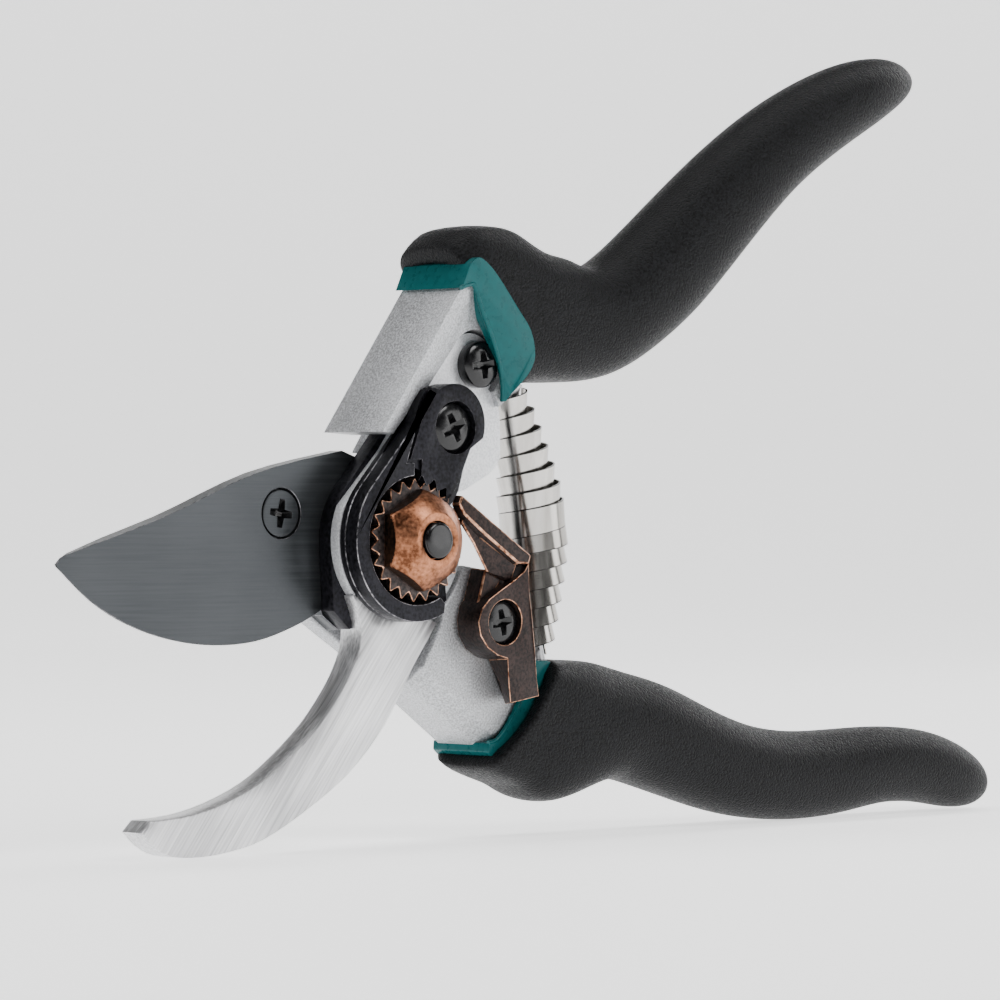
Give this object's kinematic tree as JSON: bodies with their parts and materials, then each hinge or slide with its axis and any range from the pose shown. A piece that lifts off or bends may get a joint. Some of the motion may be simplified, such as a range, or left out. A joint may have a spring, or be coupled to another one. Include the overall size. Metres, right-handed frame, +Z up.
{
  "type": "bypass pruner",
  "caption": "Hand pruner: a curved cutting blade passes a hook-shaped counter blade; two soft-grip handles on a bolt with an adjusting nut, a volute spring and a thumb catch.",
  "frame": {"origin": "on the pivot's axis, in the middle of the back face of the bolt's head", "axes": "+X from the blades to the grips, +Z up with the tool standing on its hook and lower grip, +Y along the pivot away from the adjusting nut"},
  "size_m": [0.2149, 0.0258, 0.136],
  "materials": {
    "cast_alloy": "sand-cast, silver lacquer",
    "teal_plastic": "satin moulded",
    "grip_rubber": "fine grained soft-touch",
    "blade_steel": "dark low-friction coating, brushed lengthways",
    "hook_steel": "ground and brushed",
    "dark_screw": "black oxide, satin",
    "plated_steel": "zinc plated",
    "spring_steel": "nickel plated flat strip",
    "bronze": "sintered bronze",
    "black_steel": "black oxide with bright worn edges",
    "ring_steel": "black over copper, edges worn bright",
    "copper_plate": "antique copper plate, satin",
    "antique_copper": "dark antique copper, edges worn bright"
  },
  "bodies": {
    "lower_handle": {"lower_handle": "cast_alloy", "lower_trim": "teal_plastic", "lower_grip": "grip_rubber", "cutting_blade": "blade_steel", "blade_screw": "dark_screw", "lever_screw": "dark_screw", "lever_washer": "plated_steel", "lower_spring_seat": "plated_steel", "pivot_bush": "bronze"},
    "upper_handle": {"upper_handle": "cast_alloy", "upper_trim": "teal_plastic", "upper_grip": "grip_rubber", "counter_blade": "hook_steel", "tang_screw": "dark_screw", "locking_plate": "black_steel", "locking_segment": "black_steel", "segment_screw": "dark_screw", "toothed_ring": "ring_steel", "pivot_nut": "copper_plate", "pivot_bolt": "black_steel", "hub_washer": "plated_steel", "upper_spring_seat": "plated_steel", "spring": "spring_steel"},
    "lock_lever": {"lock_lever": "antique_copper"}
  },
  "joints": [
    {"name": "handle_pivot", "type": "hinge", "parent": "lower_handle", "child": "upper_handle", "pos_m": [0, 0, 0], "axis": [0, 1, 0], "range_deg": [0, 35], "stiffness_Nm_per_rad": 1.2, "springref_deg": -34.38, "deforming": ["spring"]},
    {"name": "lock_lever", "type": "hinge", "parent": "lower_handle", "child": "lock_lever", "pos_m": [0.0179, 0, -0.0136], "axis": [0, 1, 0], "range_deg": [0, 18]}
  ]
}
